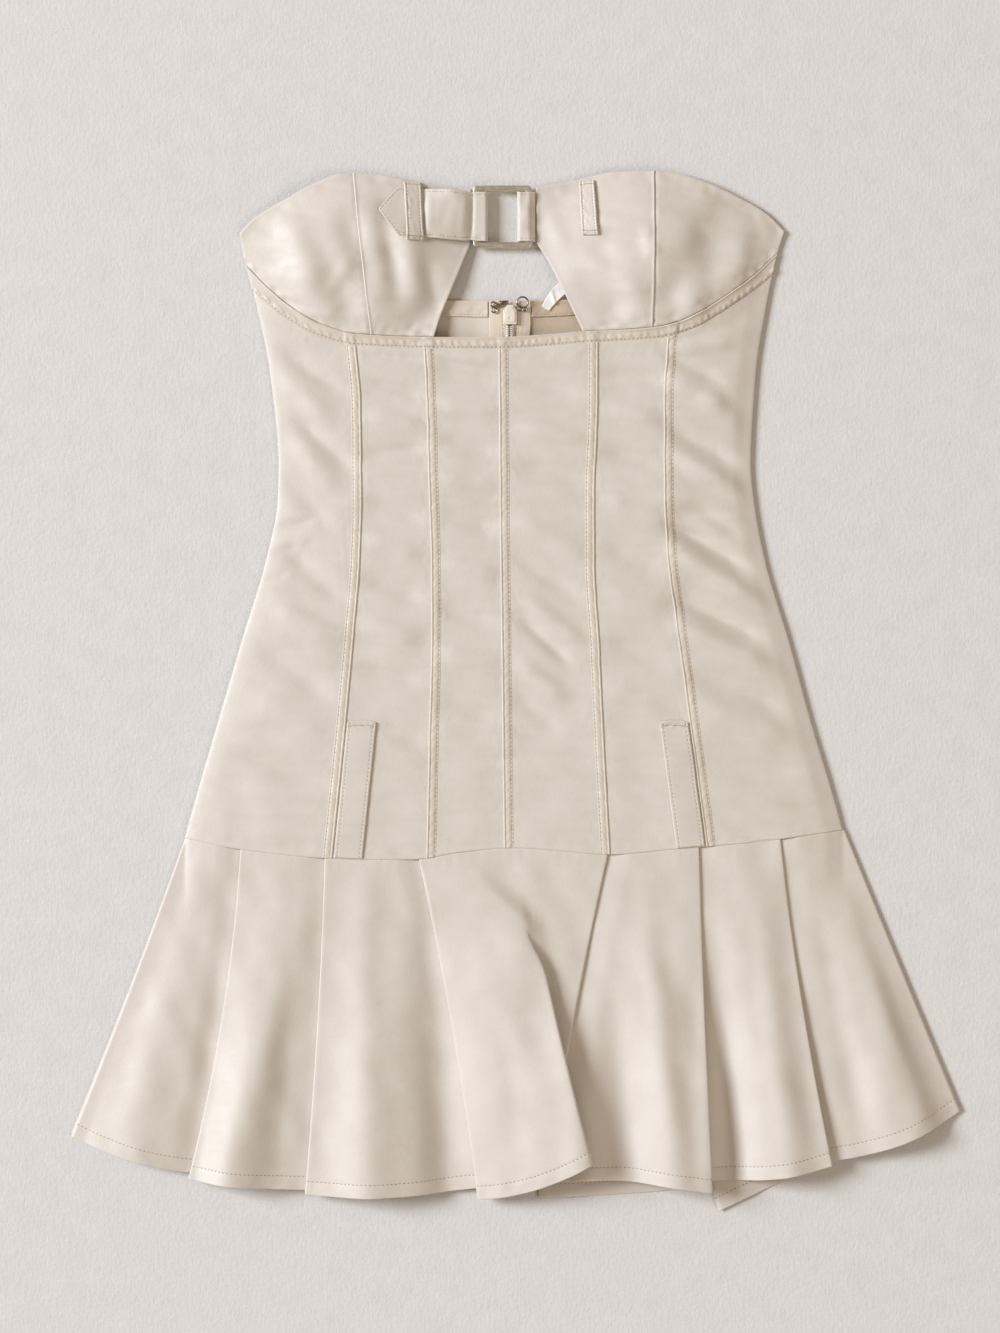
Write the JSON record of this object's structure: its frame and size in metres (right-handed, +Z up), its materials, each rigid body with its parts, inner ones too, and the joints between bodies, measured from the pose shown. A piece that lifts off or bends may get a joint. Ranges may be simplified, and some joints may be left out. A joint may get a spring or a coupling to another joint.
{
  "type": "strapless dress",
  "caption": "Strapless mini dress laid flat, with boned bodice, buckled keyhole neckline, pocket welts and a flared pleated hem band.",
  "frame": {"origin": "centre of the bounding box in X and Y, on the surface that the dress lies on", "axes": "+Y from the hem to the neckline, +X to the right as seen from above with the front up, +Z up from the surface"},
  "size_m": [0.6227, 0.7271, 0.0206],
  "materials": {
    "cream_cloth": "satin-faced cotton sateen",
    "inside_cloth": "matte wrong side of the sateen",
    "zip_tape": "matte woven tape",
    "ivory_enamel": "ivory, slightly glossy",
    "white_label": "white woven ribbon, bare",
    "pale_metal": "brushed, warm pale nickel"
  },
  "bodies": {
    "dress": {"cup_side_left": "cream_cloth", "cup_centre_left": "cream_cloth", "cup_centre_right": "cream_cloth", "cup_side_right": "cream_cloth", "belt_end": "cream_cloth", "strap_right": "cream_cloth", "buckle": "pale_metal", "belt_loop_left": "cream_cloth", "belt_loop_right": "cream_cloth", "underbust_band": "cream_cloth", "bodice_side_left": "cream_cloth", "bodice_pocket_left": "cream_cloth", "bodice_centre_left": "cream_cloth", "bodice_centre_right": "cream_cloth", "bodice_pocket_right": "cream_cloth", "bodice_side_right": "cream_cloth", "boning_channel_1": "cream_cloth", "boning_channel_2": "cream_cloth", "boning_channel_3": "cream_cloth", "boning_channel_4": "cream_cloth", "boning_channel_5": "cream_cloth", "pocket_welt_left": "cream_cloth", "pocket_welt_right": "cream_cloth", "front_flounce": "cream_cloth", "back_flounce": "cream_cloth", "back_left": "cream_cloth", "back_right": "cream_cloth", "back_facing_left": "inside_cloth", "back_facing_right": "inside_cloth", "zip_tape_left": "zip_tape", "zip_tape_right": "zip_tape", "zip_coil_left": "ivory_enamel", "zip_coil_right": "ivory_enamel", "zip_slider": "ivory_enamel", "hook": "pale_metal", "eye": "pale_metal", "label": "white_label"},
    "zip_pull": {"zip_pull": "ivory_enamel"}
  },
  "joints": [
    {"name": "zip_pull_swing", "type": "hinge", "parent": "dress", "child": "zip_pull", "pos_m": [-0.0043, 0.263, 0.0016], "axis": [1, 0, 0], "range_deg": [0, 180]}
  ]
}
